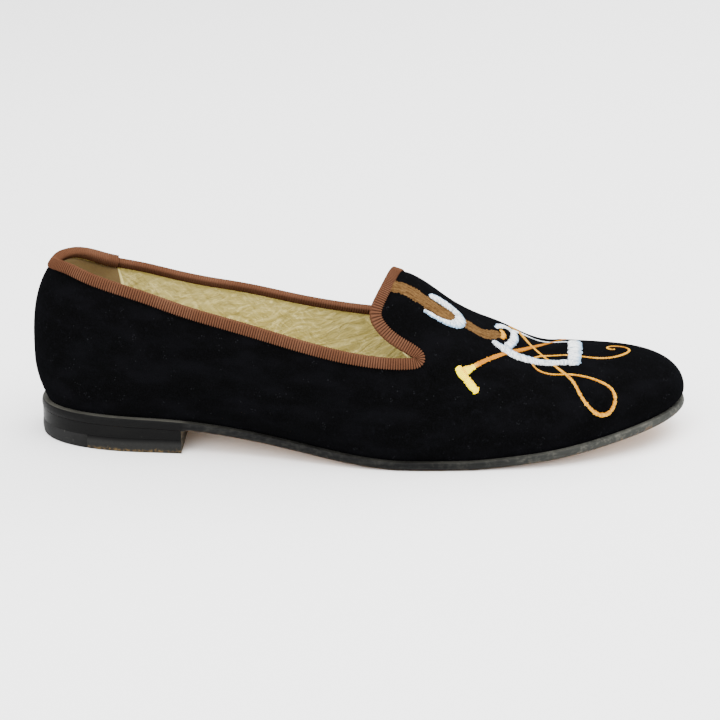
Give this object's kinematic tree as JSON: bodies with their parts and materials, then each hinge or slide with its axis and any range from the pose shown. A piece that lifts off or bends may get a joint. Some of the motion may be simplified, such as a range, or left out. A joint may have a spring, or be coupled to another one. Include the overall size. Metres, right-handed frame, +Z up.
{
  "type": "velvet slipper loafer",
  "caption": "Velvet slipper loafer, right shoe: hollow velvet upper with a tongue and ribbed ribbon edge on a thin leather sole with a low heel.",
  "frame": {"origin": "on the floor, under the middle of the whole shoe's box", "axes": "+X towards the toe, +Y towards the inner side of the foot, +Z up from the floor"},
  "size_m": [0.268, 0.0864, 0.0762],
  "materials": {
    "velvet": "black cotton velvet with a short dense nap",
    "ribbon": "brown ribbed ribbon with a slight sheen",
    "sock": "pale tan lining leather, soft sheen",
    "sole": "blackened leather edge, waxed and worn",
    "heel": "blackened stacked leather, waxed",
    "lift": "worn leather, black with brown showing at the tread",
    "rubber": "matte black rubber"
  },
  "bodies": {
    "root": {"upper": "velvet", "topline_binding": "ribbon", "insole": "sock", "outsole": "sole", "heel_stack": "heel", "top_lift": "lift", "rubber_tip": "rubber"}
  },
  "joints": []
}
